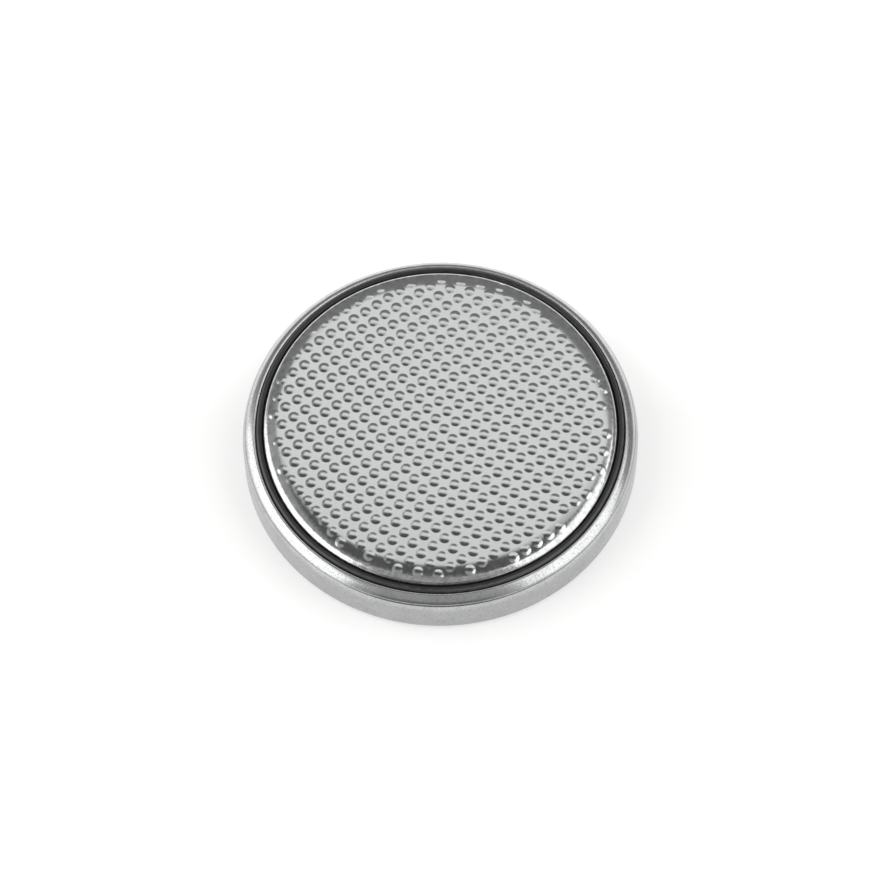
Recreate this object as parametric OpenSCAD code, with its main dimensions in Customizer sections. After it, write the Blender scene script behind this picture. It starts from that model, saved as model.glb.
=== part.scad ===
// Lithium coin cell, 20 mm across and 3.2 mm high, standing on its positive can
// with the dotted negative cap on top. All sizes are in millimetres. The origin is
// the centre of the can's flat base, and +Z runs up the cell's axis.
//
// Every round piece is a half section turned about Z. The can's crimp, the gasket
// and the cap's step are bent about one centre, so an even layer of gasket lies
// between the two steel shells.

/* [Cell] */
// Diameter of the cell, over the can's straight wall
cell_d = 20; // [16:0.5:30]
// Height of the cell, from the flat base to the tops of the contact dots
cell_h = 3.2; // [2.5:0.1:5]

/* [Positive can] */
// Thickness of the can's steel
can_wall = 0.25; // [0.2:0.01:0.3]
// Outside radius of the bend between base and wall
base_bend_r = 0.5; // [0.32:0.01:0.6]
// Outside radius of the bend that crimps the can's rim over the gasket
crimp_r = 0.9; // [0.85:0.01:1]
// Angle that the crimp is turned through, from the straight wall to the rim's edge
crimp_turn = 66; // [62:1:74]
// Angle along the crimp at which the die has left its line
die_turn = 32; // [20:1:40]
// Depth of that line
die_depth = 0.01; // [0.005:0.005:0.03]

/* [Negative cap] */
// Thickness of the cap's steel
cap_wall = 0.2; // [0.15:0.01:0.22]
// Height of the cap's face over the rim of the can
cap_proud = 0.45; // [0.3:0.01:0.55]
// Width of the cap's sloping shoulder, from its level face to its edge
shoulder_w = 1.165; // [1:0.005:1.3]
// Steepness of that shoulder where it meets the edge bend
shoulder_tilt = 17; // [14:1:24]
// Outside radius of the cap's edge bend
edge_bend_r = 0.27; // [0.24:0.01:0.35]

/* [Contact dots] */
// Distance between the centres of neighbouring dots
dot_pitch = 0.716; // [0.6:0.001:1.2]
// Diameter of a dot at its foot
dot_d = 0.5; // [0.4:0.01:0.56]
// Diameter of a dot's flat top
dot_top_d = 0.28; // [0.1:0.01:0.35]
// Height of a dot over the face
dot_h = 0.03; // [0.02:0.005:0.06]
// Distance from the cap's edge to the centres of the outermost dots
dot_margin = 0.45; // [0.44:0.01:2]
// Offset of the pattern from the cell's axis, along X
dot_shift_x = -0.25; // [-0.5:0.01:0.5]
// Offset of the pattern from the cell's axis, along Y
dot_shift_y = 0.19; // [-0.5:0.01:0.5]

/* [Gasket] */
// Thickness of the gasket between the can and the cap
gasket_t = 0.4; // [0.35:0.01:0.45]
// Width of the gasket that shows between the cap and the can's rim
gasket_show = 0.315; // [0.29:0.005:0.36]
// Height of its rounded top over the can's rim
bead_rise = 0.13; // [0.02:0.01:0.15]
// Thickness of the gasket under the cap's foot
gasket_floor = 0.35; // [0.2:0.01:0.45]
// Thickness of the gasket's upstand, inside the cap's foot
upstand_t = 0.25; // [0.15:0.01:0.35]
// Height of that upstand over the gasket's floor
upstand_h = 0.4; // [0.2:0.01:0.6]

/* [Inside] */
// Thickness of the lithium disc
lithium_t = 0.6; // [0.3:0.05:0.7]
// Width of the cap's level ceiling that shows round the lithium disc
lithium_margin = 0.05; // [0.02:0.01:1]
// Thickness of the separator
separator_t = 0.15; // [0.05:0.01:0.2]
// Width of the separator outside the collector ring
separator_over = 0.3; // [0.1:0.01:0.35]
// Gap between the collector ring and the gasket's upstand
pellet_gap = 0.6; // [0.5:0.01:1]
// Thickness of the collector ring's sheet
ring_t = 0.1; // [0.05:0.01:0.15]
// Outside radius of the collector ring's bend
ring_bend_r = 0.18; // [0.16:0.01:0.25]
// Width of the collector ring's floor
ring_w = 1.2; // [0.6:0.1:2]
// Height of the collector ring's wall
ring_h = 0.6; // [0.4:0.05:0.7]

/* [Fit] */
// Clearance between round faces that seat on each other
fit = 0.01; // [0.005:0.005:0.02]

/* [Hidden] */
$fn = 144;
// How far a cutting shape runs past what it cuts
spare = 1;

// Derived places are kept to a tenth of a micron, so that arcs meet walls exactly
function snap(x) = round(x * 10000) / 10000;

// The can: its rim ends in a round edge at the end of the crimp
face_z = cell_h - dot_h;
rim_z = face_z - cap_proud;
rim_end_r = can_wall / 2;
rim_mid_r = crimp_r - rim_end_r;
crimp_x = cell_d / 2 - crimp_r;
crimp_z = snap(rim_z - rim_end_r - rim_mid_r * sin(crimp_turn));
rim_x = snap(crimp_x + rim_mid_r * cos(crimp_turn));
rim_r = rim_x - rim_end_r;
die_r = 0.08;

// The cap: its step is bent about the crimp's centre, one gasket inside the can
cap_r = rim_r - gasket_show;
step_bend_r = crimp_r - can_wall - gasket_t;
step_hollow_r = crimp_x - cap_r;
skirt_r = crimp_x + step_bend_r;
step_z = crimp_z + step_bend_r;
foot_z = can_wall + gasket_floor;

// The cap's shoulder: a long arc between the level face and the edge bend
face_r = cap_r - shoulder_w;
edge_x = cap_r - edge_bend_r;
shoulder_r = edge_bend_r + (edge_x - face_r) / sin(shoulder_tilt);
shoulder_lift = 0.002;
shoulder_z = snap(face_z - shoulder_r + shoulder_lift);
edge_z = snap(shoulder_z + (shoulder_r - edge_bend_r + shoulder_lift) * cos(shoulder_tilt));

// The gasket: a round bead fills the ring between the cap and the can's rim
bead_r = gasket_show / 2 - fit;
bead_x = cap_r + gasket_show / 2;
bead_z = rim_z + bead_rise - bead_r;
upstand_out_r = skirt_r - cap_wall - fit;
upstand_in_r = upstand_out_r - upstand_t;

// The stack inside fills the height between the can's floor and the cap's ceiling
ceiling_z = face_z - cap_wall;
lithium_z = ceiling_z - lithium_t;
pellet_top = lithium_z - separator_t;
ring_r = upstand_in_r - pellet_gap;
pellet_r = ring_r - ring_t - fit;
pellet_edge_r = 0.06;

// The dots stand in straight rows along X, each row offset by half a step
row_step = dot_pitch * sqrt(0.5);
field_r = cap_r - dot_margin;
dot_reach = ceil(field_r / row_step) + 1;
dot_sink = 0.12;
dot_bury = 0.01;
dot_foot_r = dot_d / 2 + dot_bury * (dot_d - dot_top_d) / 2 / dot_h;

// Corner of a section that is cut away to leave a round outer edge
module corner_waste(x, z, r, up) {
  difference() {
    translate([x - r, up ? z - r : z - spare]) square([r + spare, r + spare]);
    translate([x - r, up ? z - r : z + r]) circle(r = r);
  }
}

// Half section of the space inside the can's outline, set in by a distance
module can_outline(inset, low) {
  x = cell_d / 2 - inset;
  high = crimp_z + crimp_r - inset;
  difference() {
    translate([0, low]) square([x, high - low]);
    corner_waste(x, low, base_bend_r - inset, false);
    corner_waste(x, high, crimp_r - inset, true);
  }
}

// Half section of the space inside the cap's outline, set out by a distance
module cap_outline(out, low) {
  wall_x = cap_r + out;
  step_top = step_z + out;
  hollow_r = step_hollow_r - out;
  bend_r = edge_bend_r + out;
  // level face, sloping shoulder, edge bend and straight wall
  difference() {
    translate([0, low]) square([wall_x, face_z + out - low]);
    difference() {
      translate([face_r, edge_z]) square([spare + shoulder_w, spare]);
      translate([face_r, shoulder_z]) circle(r = shoulder_r + out);
    }
    difference() {
      translate([edge_x + bend_r * sin(shoulder_tilt), edge_z]) square([spare, spare]);
      translate([edge_x, edge_z]) circle(r = bend_r);
    }
  }
  // hollow between the wall and the step
  difference() {
    translate([0, step_top]) square([wall_x + hollow_r, hollow_r]);
    translate([wall_x + hollow_r, step_top + hollow_r]) circle(r = hollow_r);
  }
  // step and skirt
  difference() {
    translate([0, low]) square([skirt_r + out, step_top - low]);
    corner_waste(skirt_r + out, step_top, step_bend_r + out, true);
  }
}

// Deep-drawn steel cup, crimped over the gasket at its rim
module positive_can() {
  reach = 2 * crimp_r;
  color("silver") rotate_extrude() {
    difference() {
      can_outline(0, 0);
      can_outline(can_wall, can_wall);
      // the mouth, and all that lies past the end of the crimp
      translate([0, crimp_z]) square([crimp_x, reach]);
      translate([crimp_x, crimp_z])
        polygon([[0, 0], [reach * cos(crimp_turn), reach * sin(crimp_turn)], [0, reach]]);
      // the line left by the crimping die
      translate([crimp_x, crimp_z]) rotate(die_turn)
        translate([crimp_r + die_r - die_depth, 0]) circle(r = die_r);
    }
    translate([rim_x, rim_z - rim_end_r]) circle(r = rim_end_r);
  }
}

// Moulded ring that seals and insulates the cap from the can
module sealing_gasket() {
  color([0.1, 0.1, 0.1]) rotate_extrude() {
    difference() {
      union() {
        can_outline(can_wall + fit, can_wall);
        translate([bead_x - bead_r, step_z]) square([2 * bead_r, bead_z - step_z]);
        translate([bead_x, bead_z]) circle(r = bead_r);
      }
      cap_outline(fit, foot_z);
      translate([0, 0]) square([upstand_in_r, cell_h]);
    }
    translate([upstand_in_r, can_wall]) square([upstand_t, gasket_floor + upstand_h]);
  }
}

// Low round button with a level top, standing on the cap at a point x, y
module contact_dot(x, y) {
  out = max(norm([x, y]) - face_r, 0);
  drop = shoulder_r - sqrt(shoulder_r * shoulder_r - out * out);
  translate([x, y, face_z - drop]) rotate_extrude($fn = 36)
    polygon([[0, -dot_sink], [dot_foot_r, -dot_sink], [dot_foot_r, -dot_bury],
             [dot_top_d / 2, dot_h], [0, dot_h]]);
}

// Pressed steel lid with a field of contact dots, stepped to sit under the crimp
module negative_cap() {
  color("gainsboro") {
    rotate_extrude() difference() {
      cap_outline(0, foot_z);
      cap_outline(-cap_wall, foot_z - spare);
    }
    for (row = [-dot_reach : dot_reach])
      for (column = [-dot_reach : dot_reach])
        if ((row + column) % 2 == 0) {
          x = column * row_step + dot_shift_x;
          y = row * row_step + dot_shift_y;
          if (norm([x, y]) < field_r) contact_dot(x, y);
        }
  }
}

// Disc of lithium metal, pressed against the cap's ceiling
module lithium_anode() {
  color("lightslategray") translate([0, 0, lithium_z])
    cylinder(h = lithium_t, r = face_r - lithium_margin);
}

// Disc of porous film between the two electrodes
module separator() {
  color("whitesmoke") translate([0, 0, pellet_top])
    cylinder(h = separator_t, r = ring_r + separator_over);
}

// Pressed pellet of manganese dioxide, moulded over the collector ring's floor
module cathode_pellet() {
  floor_z = can_wall + ring_t;
  color("dimgray") rotate_extrude() {
    translate([0, can_wall]) square([ring_r - ring_w - fit, pellet_top - can_wall]);
    difference() {
      translate([0, floor_z]) square([pellet_r, pellet_top - floor_z]);
      corner_waste(pellet_r, floor_z, ring_bend_r - ring_t + fit, false);
      corner_waste(pellet_r, pellet_top, pellet_edge_r, true);
    }
  }
}

// L-shaped ring of thin steel that holds the pellet and lies on the can's floor
module cathode_collector() {
  color("darkgray") rotate_extrude() difference() {
    translate([ring_r - ring_w, can_wall]) square([ring_w, ring_h]);
    corner_waste(ring_r, can_wall, ring_bend_r, false);
    difference() {
      translate([0, can_wall + ring_t]) square([ring_r - ring_t, ring_h]);
      corner_waste(ring_r - ring_t, can_wall + ring_t, ring_bend_r - ring_t, false);
    }
  }
}

positive_can();
sealing_gasket();
negative_cap();
lithium_anode();
separator();
cathode_pellet();
cathode_collector();
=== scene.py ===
"""Lithium coin cell, 20 mm across and 3.2 mm high, lying on a white studio table.

The file is laid out as a Blender add-on: property groups hold the sizes and colours,
one operator makes each piece, and a panel in the sidebar lists them all. Lengths are
in metres in the cell's own frame: the origin is the centre of the can's flat base and
+Z runs up the cell's axis, from the positive can to the negative cap.
"""

import math

import bmesh
import bpy
from bpy.props import FloatProperty, FloatVectorProperty, PointerProperty
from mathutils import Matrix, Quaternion, Vector


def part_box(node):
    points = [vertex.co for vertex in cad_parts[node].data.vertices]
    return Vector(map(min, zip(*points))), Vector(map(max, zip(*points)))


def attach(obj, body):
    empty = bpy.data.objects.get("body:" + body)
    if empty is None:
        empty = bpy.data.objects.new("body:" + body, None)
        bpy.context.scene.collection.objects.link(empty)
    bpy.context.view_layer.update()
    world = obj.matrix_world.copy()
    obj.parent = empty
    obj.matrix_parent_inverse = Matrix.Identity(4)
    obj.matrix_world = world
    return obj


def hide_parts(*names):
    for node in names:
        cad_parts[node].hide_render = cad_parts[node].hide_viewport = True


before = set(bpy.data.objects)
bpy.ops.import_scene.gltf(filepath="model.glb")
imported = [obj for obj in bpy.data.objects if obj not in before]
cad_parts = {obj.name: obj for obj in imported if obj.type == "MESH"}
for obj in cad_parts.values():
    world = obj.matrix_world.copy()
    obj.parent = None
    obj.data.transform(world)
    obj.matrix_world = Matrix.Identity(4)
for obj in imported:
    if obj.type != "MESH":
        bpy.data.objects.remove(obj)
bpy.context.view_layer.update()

bl_info = {
    "name": "Lithium Coin Cell",
    "version": (1, 0, 0),
    "blender": (4, 5, 0),
    "location": "3D View > Sidebar > Coin Cell",
    "description": "Builds a lithium coin cell with a dotted cap, and its studio",
    "category": "Add Mesh",
}

MM = 0.001
BODY = "root"
# Sides of a turned piece: a side is 0.2 mm long at the can's wall
TURNS = 288
# Steps along the crimp, close enough together to draw the die's fine line
CRIMP_STEPS = 110
# How many times longer than wide the can's drawing marks are
MARK_STRETCH = 12
# Radius outside which the gasket is coloured a lighter grey
GREYED_RADIUS = 9.12 * MM
CAN_LOW, CAN_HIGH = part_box("positive_can")
CAP_LOW, CAP_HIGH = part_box("negative_cap")


def linear(hex_colour):
    """Turns an sRGB hex colour into the linear values that shaders take."""
    levels = [int(hex_colour[i : i + 2], 16) / 255 for i in (1, 3, 5)]
    return tuple(
        v / 12.92 if v <= 0.04045 else ((v + 0.055) / 1.055) ** 2.4 for v in levels
    )


def length(name, description, mm):
    """A size property, given in millimetres."""
    return FloatProperty(
        name=name, description=description, default=mm * MM, unit="LENGTH", precision=6
    )


def angle(name, description, degrees):
    """An angle property, given in degrees."""
    return FloatProperty(
        name=name,
        description=description,
        default=math.radians(degrees),
        unit="ROTATION",
    )


def colour(name, description, hex_colour):
    """A colour property, given as sRGB hex."""
    return FloatVectorProperty(
        name=name,
        description=description,
        default=linear(hex_colour),
        size=3,
        min=0,
        max=1,
        subtype="COLOR",
    )


def amount(name, description, value):
    """A property that is a plain number."""
    return FloatProperty(name=name, description=description, default=value, min=0)


# ---------------------------------------------------------------- sizes and colours


class CanSizes(bpy.types.PropertyGroup):
    """Deep-drawn can, crimped over the gasket at its rim"""

    wall: length("Wall", "Thickness of the can's steel", 0.25)
    base_bend: length("Base Bend", "Outside radius between base and wall", 0.5)
    crimp_bend: length("Crimp Bend", "Outside radius of the crimp", 0.9)
    crimp_turn: angle("Crimp Turn", "Angle the crimp is turned through", 66)
    die_turn: angle("Die Turn", "Angle along the crimp of the die's line", 32)
    die_depth: length("Die Depth", "Depth of the die's line", 0.006)
    die_width: length("Die Width", "Half width of the die's line", 0.045)


class CapSizes(bpy.types.PropertyGroup):
    """Pressed cap with a level face, a sloping shoulder and a step"""

    wall: length("Wall", "Thickness of the cap's steel", 0.2)
    gasket_show: length("Gasket Show", "Gasket seen between cap and rim", 0.315)
    gasket: length("Gasket", "Thickness of the gasket between can and cap", 0.4)
    shoulder: length("Shoulder", "Width of the sloping shoulder", 1.02)
    shoulder_tilt: angle("Shoulder Tilt", "Steepness at the shoulder's edge", 17)
    edge_bend: length("Edge Bend", "Outside radius of the cap's edge", 0.44)


class DotSizes(bpy.types.PropertyGroup):
    """Field of raised contact dots on the cap"""

    pitch: length("Pitch", "Distance between neighbouring dots", 0.716)
    foot: length("Foot", "Diameter of a dot at its foot", 0.6)
    rise: length("Rise", "Height of a dot over the cap's face", 0.036)
    margin: length("Margin", "Distance from the cap's edge to the last dots", 0.45)
    shift_x: length("Shift X", "Offset of the pattern along X", -0.25)
    shift_y: length("Shift Y", "Offset of the pattern along Y", 0.19)


class CellColours(bpy.types.PropertyGroup):
    """Colours of the cell's materials"""

    can_steel: colour("Can Steel", "Nickel-plated steel", "#CACBCB")
    cap_steel: colour("Cap Steel", "Bare stainless steel", "#CECFCF")
    gasket: colour("Gasket", "Black polypropylene", "#232322")
    gasket_rim: colour("Gasket Rim", "Its outer part, greyed by the steel", "#444341")
    lithium: colour("Lithium", "Dull rolled lithium", "#C3C4C8")
    separator: colour("Separator", "White polypropylene film", "#EDEDEA")
    cathode: colour("Cathode Mix", "Black pressed powder", "#2A2A2B")


class StudioSettings(bpy.types.PropertyGroup):
    """Camera, table and light"""

    distance: length("Camera Distance", "From the cell's base to the camera", 200)
    azimuth: angle("Azimuth", "Turn of the camera round the cell", 10.22)
    elevation: angle("Elevation", "Height of the camera over the table", 62.0)
    roll: angle("Roll", "Turn of the camera about its own axis", -1.12)
    aim_right: length("Aim Right", "The view's centre, right of the base", -0.036)
    aim_up: length("Aim Up", "The view's centre, above the base", 0.617)
    lens: FloatProperty(
        name="Lens",
        description="Focal length",
        default=160.29,
        subtype="DISTANCE_CAMERA",
    )
    table: colour("Table", "White card that the cell lies on", "#DCDCDB")
    table_glow: amount("Table Glow", "Lift that makes the table plain white", 0.45)
    walls: amount("Studio Walls", "Brightness of the grey walls round the table", 0.4)


# ------------------------------------------------------------------ shared functions


def arc(centre, radius, start, end, steps):
    """Points along an arc of a half section. The angles are in radians."""
    angles = [start + (end - start) * i / steps for i in range(steps + 1)]
    return [
        (centre[0] + radius * math.cos(a), centre[1] + radius * math.sin(a))
        for a in angles
    ]


def turned(name, section):
    """Turns a half section, which starts and ends on the axis, into a smooth shell."""
    bm = bmesh.new()
    rings = []
    for radius, height in section:
        sides = TURNS if radius else 1
        ring = []
        for i in range(sides):
            a = 2 * math.pi * i / TURNS
            ring.append(
                bm.verts.new((radius * math.cos(a), radius * math.sin(a), height))
            )
        rings.append(ring)
    for low, high in zip(rings, rings[1:]):
        for i in range(TURNS):
            j = (i + 1) % TURNS
            corners = [
                low[i % len(low)],
                low[j % len(low)],
                high[j % len(high)],
                high[i % len(high)],
            ]
            bm.faces.new(list(dict.fromkeys(corners))).smooth = True
    bmesh.ops.recalc_face_normals(bm, faces=bm.faces)
    mesh = bpy.data.meshes.new(name)
    bm.to_mesh(mesh)
    bm.free()
    piece = bpy.data.objects.new(name, mesh)
    bpy.context.scene.collection.objects.link(piece)
    # wide faces keep their own slope, and the narrow ones of a bend blend into them
    piece.modifiers.new("Weighted Normals", "WEIGHTED_NORMAL").weight = 100
    return piece


def add_piece(piece, node, material):
    """Gives a piece its finish, and lets it stand for a node of the frame."""
    piece.data.materials.append(material)
    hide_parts(node)
    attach(piece, BODY)


def dress(node, material):
    """Gives a node of the frame a better material."""
    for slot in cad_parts[node].material_slots:
        slot.material = material


def add_node(tree, kind, inputs=None, **settings):
    """Adds a node: settings are its properties, inputs are values, sockets or nodes.

    A node given as an input is linked by its first output.
    """
    node = tree.nodes.new(kind)
    for key, value in settings.items():
        setattr(node, key, value)
    for key, value in (inputs or {}).items():
        if isinstance(value, bpy.types.Node):
            value = value.outputs[0]
        if isinstance(value, bpy.types.NodeSocket):
            tree.links.new(value, node.inputs[key])
        else:
            node.inputs[key].default_value = value
    return node


def new_material(name):
    """Makes an empty material, and returns it with its node tree."""
    material = bpy.data.materials.new(name)
    material.use_nodes = True
    material.node_tree.nodes.clear()
    return material, material.node_tree


def finish_material(tree, inputs):
    """Ends a material's tree with its shader. The inputs may be values or nodes."""
    shader = add_node(tree, "ShaderNodeBsdfPrincipled", inputs)
    add_node(tree, "ShaderNodeOutputMaterial", {"Surface": shader})


def grains(size_mm):
    """Scale of a noise whose grains measure about size_mm, in places in metres."""
    return 1 / (size_mm * MM)


def off_the_axis(tree, place):
    """A place's level way out from the axis, as a node, and the length of that way."""
    flat = add_node(
        tree, "ShaderNodeVectorMath", {0: place, 1: (1, 1, 0)}, operation="MULTIPLY"
    )
    out = add_node(tree, "ShaderNodeVectorMath", {0: flat}, operation="LENGTH")
    return flat, out.outputs["Value"]


def round_the_axis(tree, place, radius, stretch):
    """Places in metres where the way round the axis is made shorter by the stretch.

    A pattern read here is drawn out round the cell, as marks are that a turning or
    drawing tool leaves.
    """
    flat, out = off_the_axis(tree, place)
    way = add_node(tree, "ShaderNodeVectorMath", {0: flat}, operation="NORMALIZE")
    ring = add_node(
        tree,
        "ShaderNodeVectorMath",
        {0: way, "Scale": radius / stretch},
        operation="SCALE",
    )
    height = add_node(tree, "ShaderNodeSeparateXYZ", {0: place}).outputs["Z"]
    along = add_node(tree, "ShaderNodeMath", {0: out, 1: height}, operation="SUBTRACT")
    up = add_node(tree, "ShaderNodeCombineXYZ", {"Z": along})
    return add_node(tree, "ShaderNodeVectorMath", {0: ring, 1: up}, operation="ADD")


# ------------------------------------------------------------------------ materials


def nickel_plated_steel():
    """Satin nickel on drawn steel.

    Nickel plate is a slightly warm grey mirror with a satin skin. Drawing leaves faint
    marks round the wall, and crimping rubs pits and scuffs into the bend. Painted shade
    darkens the line that the crimping die leaves, and the wall below it.
    """
    scene = bpy.context.scene
    can = scene.can_sizes
    material, tree = new_material("satin_nickel_plated_steel")
    place = add_node(tree, "ShaderNodeTexCoord").outputs["Object"]
    drawn = round_the_axis(tree, place, CAN_HIGH.x, MARK_STRETCH)
    marks = add_node(
        tree,
        "ShaderNodeTexNoise",
        {"Vector": drawn, "Scale": grains(0.09), "Detail": 3},
    )
    pits = add_node(
        tree,
        "ShaderNodeTexNoise",
        {"Vector": place, "Scale": grains(0.1), "Detail": 3, "Roughness": 0.6},
    )
    clouds = add_node(
        tree, "ShaderNodeTexNoise", {"Vector": place, "Scale": grains(0.8), "Detail": 3}
    )
    # the die's line, as a distance in height that the pits make ragged: half of the
    # raggedness is taken off again, because the pits' noise is 0.5 on average
    line = crimp_centre(can)[1] + can.crimp_bend * math.sin(can.die_turn)
    raggedness = 0.05 * MM
    height = add_node(tree, "ShaderNodeSeparateXYZ", {0: place}).outputs["Z"]
    ragged = add_node(
        tree,
        "ShaderNodeMath",
        {0: pits, 1: raggedness, 2: height},
        operation="MULTIPLY_ADD",
    )
    off = add_node(
        tree,
        "ShaderNodeMath",
        {0: ragged, 1: line + raggedness / 2},
        operation="SUBTRACT",
    )
    gap = add_node(tree, "ShaderNodeMath", {0: off}, operation="ABSOLUTE")
    # painted shade: the colour is darkened to 0.55 in the die's line, as shade in its
    # groove
    line_shade_core, line_shade_edge = 0.012 * MM, 0.05 * MM
    line_shade = add_node(
        tree,
        "ShaderNodeMapRange",
        {0: gap, 1: line_shade_core, 2: line_shade_edge, 3: 0.55, 4: 1.0},
    )
    pitted = add_node(
        tree, "ShaderNodeMapRange", {0: pits, 1: 0.28, 2: 0.5, 3: 0.72, 4: 1.0}
    )
    cloudy = add_node(
        tree, "ShaderNodeMapRange", {0: clouds, 1: 0.3, 2: 0.7, 3: 0.92, 4: 1.04}
    )
    # painted shade: the wall below the die's line is coloured darker than the bend, for
    # the shadowed table that it reflects
    wall_shade_start = line - 0.45 * MM
    wall_shade = add_node(
        tree,
        "ShaderNodeMapRange",
        {0: height, 1: wall_shade_start, 2: line, 3: 0.72, 4: 1.0},
    )
    worn = add_node(
        tree, "ShaderNodeMath", {0: pitted, 1: cloudy}, operation="MULTIPLY"
    )
    line_shaded = add_node(tree, "ShaderNodeMath", {0: worn, 1: line_shade}, operation="MULTIPLY")
    shade = add_node(tree, "ShaderNodeMath", {0: line_shaded, 1: wall_shade}, operation="MULTIPLY")
    steel = tuple(scene.cell_colours.can_steel)
    colour = add_node(
        tree, "ShaderNodeVectorMath", {0: steel, 1: shade}, operation="MULTIPLY"
    )
    gloss = add_node(
        tree, "ShaderNodeMapRange", {0: pits, 1: 0.35, 2: 0.7, 3: 0.26, 4: 0.17}
    )
    scuffs = add_node(
        tree,
        "ShaderNodeBump",
        {"Height": pits, "Distance": 0.006 * MM, "Strength": 0.5},
    )
    skin = add_node(
        tree,
        "ShaderNodeBump",
        {"Height": marks, "Distance": 0.003 * MM, "Strength": 0.5, "Normal": scuffs},
    )
    finish_material(
        tree, {"Base Color": colour, "Metallic": 1, "Roughness": gloss, "Normal": skin}
    )
    return material


def stainless_steel():
    """Pressed stainless steel sheet with a fine satin grain.

    The sheet is rolled with a faintly grainy skin, so its reflections are soft, and
    its face carries a light mottle of handling marks. The shoulder, which rubs on the
    crimping die, is mottled more.
    """
    scene = bpy.context.scene
    face = cap_face(scene.dot_sizes)
    material, tree = new_material("satin_stainless_steel")
    place = add_node(tree, "ShaderNodeTexCoord").outputs["Object"]
    skin = add_node(
        tree,
        "ShaderNodeTexNoise",
        {"Vector": place, "Scale": grains(0.06), "Detail": 2},
    )
    mottle = add_node(
        tree,
        "ShaderNodeTexNoise",
        {"Vector": place, "Scale": grains(0.3), "Detail": 4, "Roughness": 0.65},
    )
    # how far down the shoulder a place lies: the rubbing starts a little below the
    # level face, and has its full strength further down
    rub_start, rub_full = face - 0.03 * MM, face - 0.12 * MM
    height = add_node(tree, "ShaderNodeSeparateXYZ", {0: place}).outputs["Z"]
    rubbed = add_node(
        tree,
        "ShaderNodeMapRange",
        {0: height, 1: rub_start, 2: rub_full, 3: 0.0, 4: 1.0},
    )
    even = add_node(
        tree, "ShaderNodeMapRange", {0: mottle, 1: 0.25, 2: 0.75, 3: 0.94, 4: 1.05}
    )
    blotched = add_node(
        tree, "ShaderNodeMapRange", {0: mottle, 1: 0.35, 2: 0.62, 3: 0.8, 4: 1.16}
    )
    shade = add_node(
        tree, "ShaderNodeMix", {0: rubbed, 2: even, 3: blotched}, data_type="FLOAT"
    )
    steel = tuple(scene.cell_colours.cap_steel)
    colour = add_node(
        tree, "ShaderNodeVectorMath", {0: steel, 1: shade}, operation="MULTIPLY"
    )
    gloss = add_node(
        tree, "ShaderNodeMapRange", {0: mottle, 1: 0.3, 2: 0.7, 3: 0.13, 4: 0.18}
    )
    fine = add_node(
        tree,
        "ShaderNodeBump",
        {"Height": skin, "Distance": 0.0012 * MM, "Strength": 0.5},
    )
    depth = add_node(tree, "ShaderNodeMapRange", {0: rubbed, 3: 0.1, 4: 0.8})
    dents = add_node(
        tree,
        "ShaderNodeBump",
        {"Height": mottle, "Distance": 0.012 * MM, "Strength": depth, "Normal": fine},
    )
    finish_material(
        tree, {"Base Color": colour, "Metallic": 1, "Roughness": gloss, "Normal": dents}
    )
    return material


def moulded_polypropylene():
    """Black moulded polypropylene, slightly glossy, with a film of sealant on it."""
    material, tree = new_material("black_polypropylene")
    place = add_node(tree, "ShaderNodeTexCoord").outputs["Object"]
    film = add_node(
        tree, "ShaderNodeTexNoise", {"Vector": place, "Scale": grains(0.5), "Detail": 3}
    )
    shade = add_node(
        tree, "ShaderNodeMapRange", {0: film, 1: 0.3, 2: 0.7, 3: 0.7, 4: 1.3}
    )
    # its outer part is greyed, past a soft border that the film makes uneven
    waver, soft_start, soft_end = 0.06 * MM, -0.02 * MM, 0.04 * MM
    out = off_the_axis(tree, place)[1]
    border = add_node(
        tree,
        "ShaderNodeMath",
        {0: film, 1: waver, 2: GREYED_RADIUS},
        operation="MULTIPLY_ADD",
    )
    past = add_node(tree, "ShaderNodeMath", {0: out, 1: border}, operation="SUBTRACT")
    greyed = add_node(tree, "ShaderNodeMapRange", {0: past, 1: soft_start, 2: soft_end})
    given = bpy.context.scene.cell_colours
    plain = add_node(
        tree,
        "ShaderNodeMix",
        {"Factor": greyed, 6: (*given.gasket, 1), 7: (*given.gasket_rim, 1)},
        data_type="RGBA",
    ).outputs[2]
    colour = add_node(
        tree, "ShaderNodeVectorMath", {0: plain, 1: shade}, operation="MULTIPLY"
    )
    gloss = add_node(
        tree, "ShaderNodeMapRange", {0: film, 1: 0.3, 2: 0.7, 3: 0.3, 4: 0.45}
    )
    bump = add_node(
        tree, "ShaderNodeBump", {"Height": film, "Distance": 0.01 * MM, "Strength": 0.4}
    )
    finish_material(tree, {"Base Color": colour, "Roughness": gloss, "Normal": bump})
    return material


def rolled_lithium():
    """Soft lithium sheet: a dull grey metal with a cloudy skin."""
    material, tree = new_material("rolled_lithium")
    place = add_node(tree, "ShaderNodeTexCoord").outputs["Object"]
    skin = add_node(
        tree, "ShaderNodeTexNoise", {"Vector": place, "Scale": grains(0.8), "Detail": 4}
    )
    shade = add_node(
        tree, "ShaderNodeMapRange", {0: skin, 1: 0.3, 2: 0.7, 3: 0.8, 4: 1.05}
    )
    grey = tuple(bpy.context.scene.cell_colours.lithium)
    colour = add_node(
        tree, "ShaderNodeVectorMath", {0: grey, 1: shade}, operation="MULTIPLY"
    )
    gloss = add_node(
        tree, "ShaderNodeMapRange", {0: skin, 1: 0.3, 2: 0.7, 3: 0.45, 4: 0.6}
    )
    finish_material(tree, {"Base Color": colour, "Metallic": 1, "Roughness": gloss})
    return material


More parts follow.
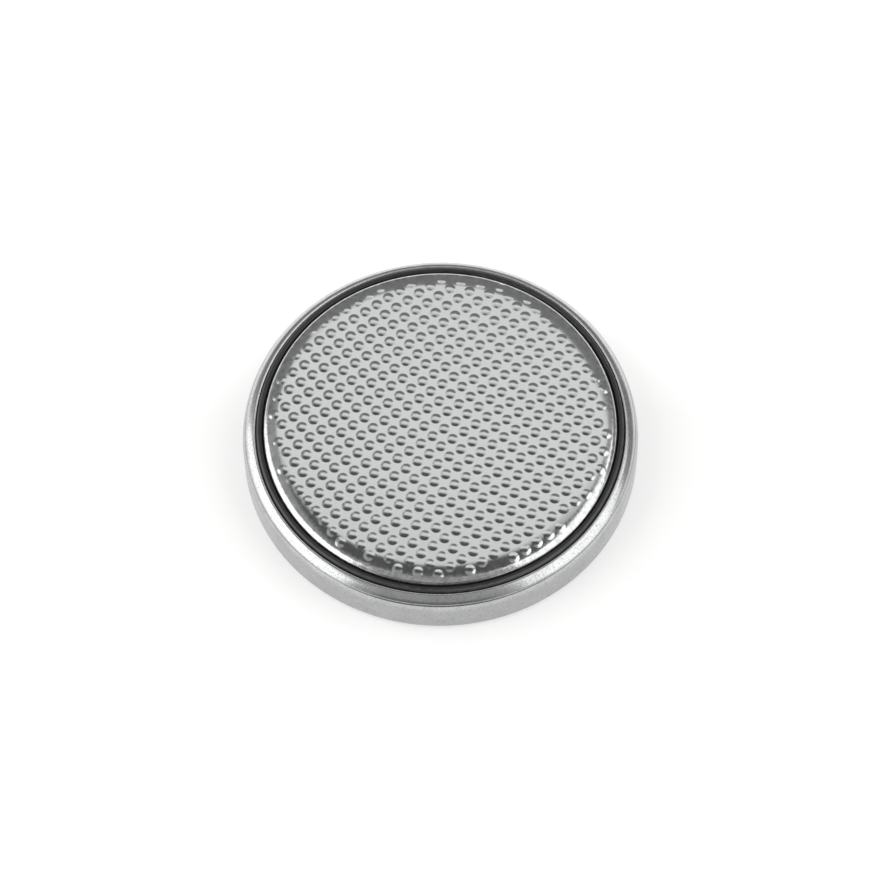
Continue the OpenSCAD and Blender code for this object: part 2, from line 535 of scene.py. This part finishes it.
def porous_film():
    """White fibrous polypropylene film, matt and slightly uneven."""
    material, tree = new_material("porous_polypropylene_film")
    place = add_node(tree, "ShaderNodeTexCoord").outputs["Object"]
    fibres = add_node(
        tree, "ShaderNodeTexNoise", {"Vector": place, "Scale": grains(0.1), "Detail": 4}
    )
    shade = add_node(
        tree, "ShaderNodeMapRange", {0: fibres, 1: 0.3, 2: 0.7, 3: 0.9, 4: 1.0}
    )
    white = tuple(bpy.context.scene.cell_colours.separator)
    colour = add_node(
        tree, "ShaderNodeVectorMath", {0: white, 1: shade}, operation="MULTIPLY"
    )
    bump = add_node(
        tree,
        "ShaderNodeBump",
        {"Height": fibres, "Distance": 0.01 * MM, "Strength": 0.5},
    )
    finish_material(tree, {"Base Color": colour, "Roughness": 0.8, "Normal": bump})
    return material


def pressed_cathode_mix():
    """Pressed manganese dioxide and carbon: a black, gritty, matt powder."""
    material, tree = new_material("pressed_cathode_mix")
    place = add_node(tree, "ShaderNodeTexCoord").outputs["Object"]
    grit = add_node(
        tree,
        "ShaderNodeTexNoise",
        {"Vector": place, "Scale": grains(0.08), "Detail": 3},
    )
    shade = add_node(
        tree, "ShaderNodeMapRange", {0: grit, 1: 0.3, 2: 0.7, 3: 0.7, 4: 1.3}
    )
    black = tuple(bpy.context.scene.cell_colours.cathode)
    colour = add_node(
        tree, "ShaderNodeVectorMath", {0: black, 1: shade}, operation="MULTIPLY"
    )
    bump = add_node(
        tree, "ShaderNodeBump", {"Height": grit, "Distance": 0.02 * MM, "Strength": 0.6}
    )
    finish_material(tree, {"Base Color": colour, "Roughness": 0.85, "Normal": bump})
    return material


def studio_card(name, strength):
    """Card of the studio's walls, which shines evenly with a grey of its own."""
    material, tree = new_material(name)
    glow = add_node(tree, "ShaderNodeEmission", {"Strength": strength})
    add_node(tree, "ShaderNodeOutputMaterial", {"Surface": glow})
    return material


def background_rays(tree):
    """1 on the rays that should meet a plain white background, and 0 on others."""
    path = add_node(tree, "ShaderNodeLightPath").outputs
    seen = add_node(
        tree,
        "ShaderNodeMath",
        {0: path["Is Camera Ray"], 1: path["Is Glossy Ray"]},
        operation="MAXIMUM",
    )
    return add_node(
        tree,
        "ShaderNodeMath",
        {0: seen, 1: path["Is Transmission Ray"]},
        operation="MAXIMUM",
    )


# Painted light: the table's glow grows by this factor between these two distances
# behind the cell's centre, as a brighter pool of light that the metal reflects
BACK_LIGHT_POOL = 1.5
BACK_LIGHT_POOL_START = 2 * MM
BACK_LIGHT_POOL_END = 16 * MM


def white_card():
    """Matt white card, lifted to plain white where the camera or the metal sees it.

    It is clear from below, so that the can's base can be looked at too.
    """
    studio = bpy.context.scene.studio
    material, tree = new_material("white_card")
    # painted light: the card glows brighter behind the cell, as a pool of light that
    # the metal reflects
    place = add_node(tree, "ShaderNodeTexCoord").outputs["Object"]
    behind = add_node(
        tree,
        "ShaderNodeVectorMath",
        {0: place, 1: studio_direction(90, 0, studio.azimuth)},
        operation="DOT_PRODUCT",
    )
    lift = add_node(
        tree,
        "ShaderNodeMapRange",
        {
            0: behind.outputs["Value"],
            1: BACK_LIGHT_POOL_START,
            2: BACK_LIGHT_POOL_END,
            3: studio.table_glow,
            4: BACK_LIGHT_POOL * studio.table_glow,
        },
    )
    glow = add_node(
        tree,
        "ShaderNodeMath",
        {0: background_rays(tree), 1: lift},
        operation="MULTIPLY",
    )
    under = add_node(tree, "ShaderNodeNewGeometry").outputs["Backfacing"]
    solid = add_node(tree, "ShaderNodeMath", {0: 1.0, 1: under}, operation="SUBTRACT")
    finish_material(
        tree,
        {
            "Alpha": solid,
            "Base Color": (*studio.table, 1),
            "Roughness": 0.9,
            "Specular IOR Level": 0,
            "Emission Color": (1, 1, 1, 1),
            "Emission Strength": glow,
        },
    )
    return material


# --------------------------------------------------------------------------- pieces


def crimp_centre(can):
    """Centre of the crimp's bend, in the half section."""
    rim = can.wall / 2
    rise = rim + (can.crimp_bend - rim) * math.sin(can.crimp_turn)
    return CAN_HIGH.x - can.crimp_bend, CAN_HIGH.z - rise


def can_section(can):
    """Half section of the can, from under its base round to the floor inside."""
    x, z = crimp_centre(can)
    rim = can.wall / 2
    middle = can.crimp_bend - rim
    base_x = CAN_HIGH.x - can.base_bend
    base_centre = (base_x, CAN_LOW.z + can.base_bend)
    section = [(0, CAN_LOW.z)]
    section += arc(base_centre, can.base_bend, -math.pi / 2, 0, 16)
    # the crimp, with the line that its die leaves
    for i in range(CRIMP_STEPS + 1):
        turn = can.crimp_turn * i / CRIMP_STEPS
        off = (turn - can.die_turn) * can.crimp_bend / can.die_width
        radius = can.crimp_bend - can.die_depth * math.exp(-off * off)
        section.append((x + radius * math.cos(turn), z + radius * math.sin(turn)))
    end = (
        x + middle * math.cos(can.crimp_turn),
        z + middle * math.sin(can.crimp_turn),
    )
    section += arc(end, rim, can.crimp_turn, can.crimp_turn + math.pi, 16)[1:]
    section += arc((x, z), can.crimp_bend - can.wall, can.crimp_turn, 0, 24)[1:]
    section += arc(base_centre, can.base_bend - can.wall, 0, -math.pi / 2, 8)
    section.append((0, CAN_LOW.z + can.wall))
    return section


def cap_face(dots):
    """Height of the cap's level face, from which the dots rise to the cap's top."""
    return CAP_HIGH.z - dots.rise


def cap_edge(can, cap):
    """Radius of the cap at its edge, inside the gasket that shows round it."""
    rim = can.wall / 2
    middle = can.crimp_bend - rim
    x = crimp_centre(can)[0]
    return x + middle * math.cos(can.crimp_turn) - rim - cap.gasket_show


def cap_section(can, cap, dots):
    """Half section of the cap, from its face down to its foot and back inside."""
    x, z = crimp_centre(can)
    face, edge = cap_face(dots), cap_edge(can, cap)
    edge_x, face_radius = edge - cap.edge_bend, edge - cap.shoulder
    # the shoulder is one long arc between the level face and the edge bend
    shoulder = cap.edge_bend + (edge_x - face_radius) / math.sin(cap.shoulder_tilt)
    level = math.pi / 2
    slope = level - cap.shoulder_tilt
    step_bend = can.crimp_bend - can.wall - cap.gasket
    hollow = x - edge
    shoulder_centre = (face_radius, face - shoulder)
    edge_centre = (
        edge_x,
        face - shoulder + (shoulder - cap.edge_bend) * math.cos(cap.shoulder_tilt),
    )
    hollow_centre = (x, z + step_bend + hollow)
    section = [(0, face)]
    section += arc(shoulder_centre, shoulder, level, slope, 40)
    section += arc(edge_centre, cap.edge_bend, slope, 0, 24)[1:]
    section += arc(hollow_centre, hollow, math.pi, 1.5 * math.pi, 12)
    section += arc((x, z), step_bend, level, 0, 12)[1:]
    section.append((x + step_bend, CAP_LOW.z))
    section.append((x + step_bend - cap.wall, CAP_LOW.z))
    section += arc((x, z), step_bend - cap.wall, 0, level, 8)
    section += arc(hollow_centre, hollow + cap.wall, 1.5 * math.pi, math.pi, 12)[1:]
    section += arc(edge_centre, cap.edge_bend - cap.wall, 0, slope, 10)
    section += arc(shoulder_centre, shoulder - cap.wall, slope, level, 16)[1:]
    section.append((0, face - cap.wall))
    return section


# Half section of a dot: share of its foot's radius, and share of its rise. The flank
# is steepest near the foot, where it swells softly out of the face.
DOT_SECTION = (
    (0.0, 1.0),
    (0.32, 0.95),
    (0.5, 0.79),
    (0.72, 0.42),
    (0.93, 0.06),
    (1.0, -0.03),
)
DOT_SIDES = 12
# Height from which rays look for the cap's surface, well above the cell
RAY_START = 10 * MM


def dot_form(dots):
    """One dot as a small turned mesh about the origin, for the field to repeat."""
    bm = bmesh.new()
    rings = []
    for share, height in DOT_SECTION:
        radius = share * dots.foot / 2
        turns = [
            2 * math.pi * i / DOT_SIDES for i in range(DOT_SIDES if share else 1)
        ]
        rings.append(
            [
                bm.verts.new(
                    (radius * math.cos(t), radius * math.sin(t), height * dots.rise)
                )
                for t in turns
            ]
        )
    for low, high in zip(rings, rings[1:]):
        for i in range(DOT_SIDES):
            j = (i + 1) % DOT_SIDES
            corners = [low[i % len(low)], high[i], high[j], low[j % len(low)]]
            bm.faces.new(list(dict.fromkeys(corners))).smooth = True
    mesh = bpy.data.meshes.new("contact_dot_form")
    bm.to_mesh(mesh)
    bm.free()
    return bpy.data.objects.new("contact_dot_form", mesh)


def dot_field_tree():
    """Geometry Nodes that lay a form in diagonal rows on a cap.

    Rays cast down on the cap find the height of its surface, and each dot is laid on
    it, so that the dots on the shoulder lean with it as they do when they are pressed.
    """
    tree = bpy.data.node_groups.new("contact_dot_field", "GeometryNodeTree")
    face = tree.interface
    face.new_socket("Geometry", in_out="OUTPUT", socket_type="NodeSocketGeometry")
    for name, kind in (
        ("Geometry", "NodeSocketGeometry"),
        ("Form", "NodeSocketObject"),
        ("Cap", "NodeSocketObject"),
        ("Finish", "NodeSocketMaterial"),
        ("Pitch", "NodeSocketFloat"),
        ("Rows", "NodeSocketInt"),
        ("Field Radius", "NodeSocketFloat"),
        ("Shift", "NodeSocketVector"),
    ):
        face.new_socket(name, in_out="INPUT", socket_type=kind)
    given = add_node(tree, "NodeGroupInput").outputs
    cap = add_node(tree, "GeometryNodeObjectInfo", {"Object": given["Cap"]})
    # places: a square grid, turned so that its diagonals lie along X and Y
    gaps = add_node(
        tree, "ShaderNodeMath", {0: given["Rows"], 1: 1.0}, operation="SUBTRACT"
    )
    width = add_node(
        tree, "ShaderNodeMath", {0: gaps, 1: given["Pitch"]}, operation="MULTIPLY"
    )
    grid = add_node(
        tree,
        "GeometryNodeMeshGrid",
        {
            "Size X": width,
            "Size Y": width,
            "Vertices X": given["Rows"],
            "Vertices Y": given["Rows"],
        },
    )
    places = add_node(
        tree,
        "GeometryNodeTransform",
        {
            "Geometry": grid,
            "Translation": given["Shift"],
            "Rotation": (0, 0, math.radians(45)),
        },
    )
    here = add_node(tree, "GeometryNodeInputPosition")
    out = add_node(tree, "ShaderNodeVectorMath", {0: here}, operation="LENGTH")
    past = add_node(
        tree,
        "ShaderNodeMath",
        {0: out.outputs["Value"], 1: given["Field Radius"]},
        operation="GREATER_THAN",
    )
    kept = add_node(
        tree,
        "GeometryNodeDeleteGeometry",
        {"Geometry": places, "Selection": past},
        domain="POINT",
    )
    # the height of the cap's surface under each place, found from well above it
    above = add_node(
        tree, "ShaderNodeVectorMath", {0: here, 1: (0, 0, RAY_START)}, operation="ADD"
    )
    ground = add_node(
        tree,
        "GeometryNodeRaycast",
        {
            "Target Geometry": cap.outputs["Geometry"],
            "Source Position": above,
            "Ray Direction": (0, 0, -1),
            "Ray Length": 2 * RAY_START,
        },
    )
    height = add_node(
        tree, "ShaderNodeSeparateXYZ", {0: ground.outputs["Hit Position"]}
    ).outputs["Z"]
    form = add_node(tree, "GeometryNodeObjectInfo", {"Object": given["Form"]})
    field = add_node(
        tree,
        "GeometryNodeInstanceOnPoints",
        {"Points": kept, "Instance": form.outputs["Geometry"]},
    )
    real = add_node(tree, "GeometryNodeRealizeInstances", {"Geometry": field})
    laid = add_node(
        tree,
        "GeometryNodeSetPosition",
        {
            "Geometry": real,
            "Offset": add_node(tree, "ShaderNodeCombineXYZ", {"Z": height}),
        },
    )
    finished = add_node(
        tree,
        "GeometryNodeSetMaterial",
        {"Geometry": laid, "Material": given["Finish"]},
    )
    add_node(tree, "NodeGroupOutput", {0: finished})
    return tree


class COINCELL_OT_can(bpy.types.Operator):
    """Make the positive can with its crimped rim"""

    bl_idname = "coincell.can"
    bl_label = "Positive Can"
    bl_options = {"REGISTER", "UNDO"}

    def execute(self, context):
        shell = turned("can_shell", can_section(context.scene.can_sizes))
        add_piece(shell, "positive_can", nickel_plated_steel())
        return {"FINISHED"}


class COINCELL_OT_cap(bpy.types.Operator):
    """Make the negative cap and its field of contact dots"""

    bl_idname = "coincell.cap"
    bl_label = "Negative Cap"
    bl_options = {"REGISTER", "UNDO"}

    def execute(self, context):
        scene = context.scene
        can, cap, dots = scene.can_sizes, scene.cap_sizes, scene.dot_sizes
        steel = stainless_steel()
        lid = turned("cap_lid", cap_section(can, cap, dots))
        add_piece(lid, "negative_cap", steel)
        form = dot_form(dots)
        maker = bpy.data.objects.new("dot_maker", bpy.data.meshes.new("dot_maker"))
        scene.collection.objects.link(maker)
        field = maker.modifiers.new("Contact Dots", "NODES")
        field.node_group = dot_field_tree()
        radius = cap_edge(can, cap) - dots.margin
        values = {
            "Form": form,
            "Cap": lid,
            "Finish": steel,
            "Pitch": dots.pitch,
            "Rows": 2 * math.ceil(radius / dots.pitch + 1) + 1,
            "Field Radius": radius,
            "Shift": (dots.shift_x, dots.shift_y, 0),
        }
        for item in field.node_group.interface.items_tree:
            if item.name in values:
                field[item.identifier] = values[item.name]
        ready = maker.evaluated_get(context.evaluated_depsgraph_get())
        mesh = bpy.data.meshes.new_from_object(ready)
        mesh.name = "contact_dots"
        maker.modifiers.remove(field)
        bpy.data.objects.remove(maker)
        bpy.data.objects.remove(form)
        if not mesh.polygons:
            raise RuntimeError("the field of contact dots is empty")
        piece = bpy.data.objects.new("contact_dots", mesh)
        scene.collection.objects.link(piece)
        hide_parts("negative_cap")
        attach(piece, BODY)
        return {"FINISHED"}


class COINCELL_OT_gasket(bpy.types.Operator):
    """Finish the gasket, which keeps the frame's own shape"""

    bl_idname = "coincell.gasket"
    bl_label = "Sealing Gasket"
    bl_options = {"REGISTER", "UNDO"}

    def execute(self, context):
        dress("sealing_gasket", moulded_polypropylene())
        return {"FINISHED"}


class COINCELL_OT_inside(bpy.types.Operator):
    """Finish the pieces inside the can, which keep the frame's own shapes"""

    bl_idname = "coincell.inside"
    bl_label = "Electrodes and Separator"
    bl_options = {"REGISTER", "UNDO"}

    def execute(self, context):
        dress("lithium_anode", rolled_lithium())
        dress("separator", porous_film())
        dress("cathode_pellet", pressed_cathode_mix())
        dress("cathode_collector", nickel_plated_steel())
        return {"FINISHED"}


# --------------------------------------------------------------------------- studio

# Softboxes: name, azimuth, elevation and distance seen from the cell, lean, width,
# height and radiance. Azimuth 0 is to the camera's right and 90 straight behind the
# cell. A softbox faces the cell, but with no elevation it stands upright on the table.
SOFTBOXES = (
    ("back_softbox", 81, 64, 0.08, -8, 0.068, 0.032, 0.65),
    ("left_softbox", 187, 0, 0.5, 0, 0.8, 1.18, 1.45),
    ("right_softbox", 343, 36, 0.5, -30, 0.5, 0.73, 1.25),
)
# Flags: darker cards that the metal sees between the softboxes
FLAGS = (
    ("top_flag", 80, 81, 0.52, 0, 0.42, 0.28, 0.1),
    ("back_flag", 90, 27, 0.52, 0, 0.9, 0.56, 0.24),
    ("front_flag", 266, 0, 0.065, 0, 0.063, 0.026, 0.16),
    ("right_flag", 22, 0, 0.065, 0, 0.04, 0.042, 0.27),
)
# Radius of the grey walls, which stand round the cell, softboxes and flags
DOME_RADIUS = 0.9
# Width of the table. It lies a hair lower than the can's base, so that the two don't
# share a plane.
TABLE_WIDTH = 3.0
TABLE_DROP = 0.002 * MM


def studio_direction(azimuth, elevation, turn):
    """Direction from the cell, with the azimuth counted in the camera's frame."""
    a = math.radians(azimuth) + turn
    e = math.radians(elevation)
    return Vector((math.cos(a) * math.cos(e), math.sin(a) * math.cos(e), math.sin(e)))


def card_mesh(name, width, height, level, material):
    """One flat rectangular face about the Z axis, for the table or a flag."""
    x, y = width / 2, height / 2
    corners = [(-x, -y, level), (x, -y, level), (x, y, level), (-x, y, level)]
    mesh = bpy.data.meshes.new(name)
    mesh.from_pydata(corners, [], [(0, 1, 2, 3)])
    mesh.materials.append(material)
    return mesh


def stand_card(card, place, turn):
    """Stands a softbox or flag at its place, so that it faces the cell."""
    azimuth, elevation, distance, lean, width, height = place
    direction = studio_direction(azimuth, elevation, turn)
    card.location = direction * distance
    if elevation == 0:
        card.location.z = height / 2
    card.rotation_mode = "QUATERNION"
    card.rotation_quaternion = direction.to_track_quat("Z", "Y") @ Quaternion(
        (0, 0, 1), math.radians(lean)
    )


def hide_from_camera(card):
    """Lets only the metal's reflections see a card of the studio."""
    card.visible_camera = False
    card.visible_shadow = False
    card.visible_diffuse = False
    card.visible_transmission = False


class COINCELL_OT_studio(bpy.types.Operator):
    """Set up the table, the lights, the grey walls and the camera"""

    bl_idname = "coincell.studio"
    bl_label = "Studio"
    bl_options = {"REGISTER", "UNDO"}

    def execute(self, context):
        scene = context.scene
        studio = scene.studio
        self.make_table(scene)
        self.make_lights(scene, studio)
        self.make_walls(scene, studio)
        self.make_camera(scene, studio)
        scene.view_settings.view_transform = "Standard"
        return {"FINISHED"}

    def make_table(self, scene):
        """White card under the cell."""
        mesh = card_mesh("table", TABLE_WIDTH, TABLE_WIDTH, -TABLE_DROP, white_card())
        table = bpy.data.objects.new("table", mesh)
        scene.collection.objects.link(table)

    def make_lights(self, scene, studio):
        """Softboxes behind, to the left and to the right of the cell."""
        for name, *place, radiance in SOFTBOXES:
            width, height = place[-2:]
            lamp = bpy.data.lights.new(name, "AREA")
            lamp.shape = "RECTANGLE"
            lamp.size, lamp.size_y = width, height
            lamp.energy = radiance * math.pi * width * height
            box = bpy.data.objects.new(name, lamp)
            scene.collection.objects.link(box)
            stand_card(box, place, studio.azimuth)
            box.visible_camera = False

    def make_walls(self, scene, studio):
        """Dark flags, and grey walls all round, as the metal sees them."""
        for name, *place, radiance in FLAGS:
            mesh = card_mesh(name, *place[-2:], 0, studio_card(name, radiance))
            flag = bpy.data.objects.new(name, mesh)
            scene.collection.objects.link(flag)
            stand_card(flag, place, studio.azimuth)
            hide_from_camera(flag)
        bm = bmesh.new()
        bmesh.ops.create_icosphere(bm, subdivisions=4, radius=DOME_RADIUS)
        mesh = bpy.data.meshes.new("studio_walls")
        bm.to_mesh(mesh)
        bm.free()
        mesh.materials.append(studio_card("grey_walls", studio.walls))
        dome = bpy.data.objects.new("studio_walls", mesh)
        scene.collection.objects.link(dome)
        hide_from_camera(dome)
        world = bpy.data.worlds.new("studio_air")
        world.use_nodes = True
        tree = world.node_tree
        tree.nodes.clear()
        # plain white where it is seen, and the grey of the walls as soft light
        strength = add_node(
            tree,
            "ShaderNodeMapRange",
            {0: background_rays(tree), 3: studio.walls, 4: 1.0},
        )
        back = add_node(tree, "ShaderNodeBackground", {"Strength": strength})
        add_node(tree, "ShaderNodeOutputWorld", {"Surface": back})
        scene.world = world

    def make_camera(self, scene, studio):
        """Camera over the cell's near edge, slightly rolled."""
        lens = bpy.data.cameras.new("camera")
        lens.sensor_width = 36
        lens.lens = studio.lens
        lens.clip_start, lens.clip_end = 0.01, 5
        camera = bpy.data.objects.new("camera", lens)
        scene.collection.objects.link(camera)
        a, e = studio.azimuth, studio.elevation
        back = Vector(
            (math.sin(a) * math.cos(e), -math.cos(a) * math.cos(e), math.sin(e))
        )
        right = Vector((math.cos(a), math.sin(a), 0))
        up = back.cross(right)
        place = back * studio.distance
        roll = Quaternion(back, studio.roll)
        aim = roll @ (right * studio.aim_right + up * studio.aim_up)
        look = (place - aim).normalized()
        camera.location = place
        camera.rotation_mode = "QUATERNION"
        turn = look.to_track_quat("Z", "Y")
        camera.rotation_quaternion = turn @ Quaternion((0, 0, 1), studio.roll)
        scene.camera = camera


# --------------------------------------------------------------------------- add-on

OPERATORS = (
    COINCELL_OT_can,
    COINCELL_OT_gasket,
    COINCELL_OT_cap,
    COINCELL_OT_inside,
    COINCELL_OT_studio,
)
GROUPS = {
    "can_sizes": CanSizes,
    "cap_sizes": CapSizes,
    "dot_sizes": DotSizes,
    "cell_colours": CellColours,
    "studio": StudioSettings,
}


class COINCELL_PT_panel(bpy.types.Panel):
    """Lists the cell's pieces with their sizes and colours"""

    bl_idname = "COINCELL_PT_panel"
    bl_label = "Lithium Coin Cell"
    bl_space_type = "VIEW_3D"
    bl_region_type = "UI"
    bl_category = "Coin Cell"

    def draw(self, context):
        layout = self.layout
        layout.use_property_split = True
        for operator in OPERATORS:
            layout.operator(operator.bl_idname)
        for name, group in GROUPS.items():
            box = layout.box()
            box.label(text=group.__doc__)
            values = getattr(context.scene, name)
            for key in group.__annotations__:
                box.prop(values, key)


CLASSES = (*GROUPS.values(), *OPERATORS, COINCELL_PT_panel)


def register():
    """Registers the classes, and hangs the property groups on the scene."""
    for cls in CLASSES:
        bpy.utils.register_class(cls)
    for name, group in GROUPS.items():
        setattr(bpy.types.Scene, name, PointerProperty(type=group))


def unregister():
    """Takes the property groups off the scene, and the classes out of Blender."""
    for name in GROUPS:
        delattr(bpy.types.Scene, name)
    for cls in reversed(CLASSES):
        bpy.utils.unregister_class(cls)


def main():
    """Builds the whole scene."""
    register()
    bpy.ops.coincell.can()
    bpy.ops.coincell.gasket()
    bpy.ops.coincell.cap()
    bpy.ops.coincell.inside()
    bpy.ops.coincell.studio()


if __name__ == "__main__":
    main()
